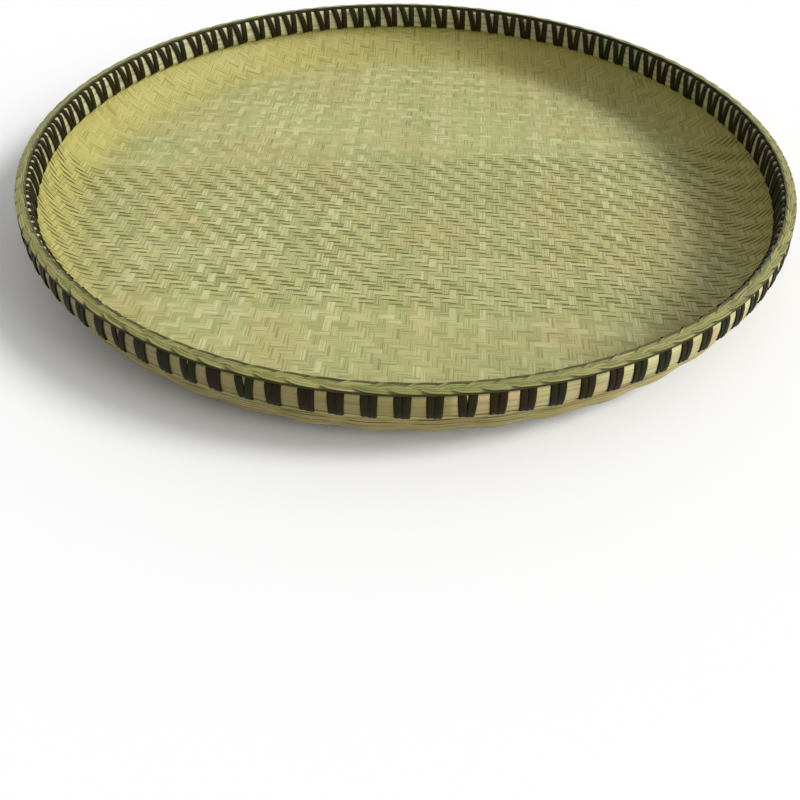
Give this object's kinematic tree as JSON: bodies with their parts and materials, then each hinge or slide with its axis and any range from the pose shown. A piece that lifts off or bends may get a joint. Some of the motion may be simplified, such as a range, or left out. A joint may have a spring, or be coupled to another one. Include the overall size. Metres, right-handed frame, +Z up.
{
  "type": "winnowing tray",
  "caption": "Round shallow bamboo winnowing tray: a twill mat on a lattice of crossed strips and rings, woven wall rows, and a rim of two hoops with a plait, lashed together",
  "frame": {"origin": "middle of the ring that the tray stands on, on its underside", "axes": "+Z up through the open top, X and Y across the tray"},
  "size_m": [0.6002, 0.6002, 0.0586],
  "materials": {
    "mat": "split bamboo, satin",
    "strips": "bamboo skin strips, satin",
    "rings": "pale bamboo splits, satin",
    "weavers": "golden bamboo splits, satin",
    "hoops": "bent bamboo lath, satin",
    "plait": "plaited bamboo splits, satin",
    "lashing": "dark bark strip, satin"
  },
  "bodies": {
    "root": {"liner_mat": "mat", "floor_strip_01": "strips", "floor_strip_02": "strips", "floor_strip_03": "strips", "floor_strip_04": "strips", "floor_strip_05": "strips", "floor_strip_06": "strips", "floor_strip_07": "strips", "floor_strip_08": "strips", "floor_strip_09": "strips", "floor_strip_10": "strips", "floor_strip_11": "strips", "floor_strip_12": "strips", "floor_strip_13": "strips", "floor_strip_14": "strips", "floor_strip_15": "strips", "floor_strip_16": "strips", "floor_strip_17": "strips", "floor_strip_18": "strips", "floor_strip_19": "strips", "floor_strip_20": "strips", "floor_strip_21": "strips", "floor_strip_22": "strips", "floor_strip_23": "strips", "floor_strip_24": "strips", "floor_ring_1": "rings", "floor_ring_2": "rings", "floor_ring_3": "rings", "floor_ring_4": "rings", "heel_border": "rings", "wall_weaver_01": "weavers", "wall_weaver_02": "weavers", "wall_weaver_03": "weavers", "wall_weaver_04": "weavers", "wall_weaver_05": "weavers", "wall_weaver_06": "weavers", "wall_weaver_07": "weavers", "wall_weaver_08": "weavers", "wall_weaver_09": "weavers", "wall_weaver_10": "weavers", "wall_weaver_11": "weavers", "wall_weaver_12": "weavers", "wall_weaver_13": "weavers", "wall_weaver_14": "weavers", "wall_weaver_15": "weavers", "wall_weaver_16": "weavers", "wall_weaver_17": "weavers", "wall_weaver_18": "weavers", "wall_weaver_19": "weavers", "outer_hoop": "hoops", "inner_hoop": "hoops", "hoop_edge_split": "weavers", "rim_plait": "plait", "rim_lashing": "lashing"}
  },
  "joints": []
}
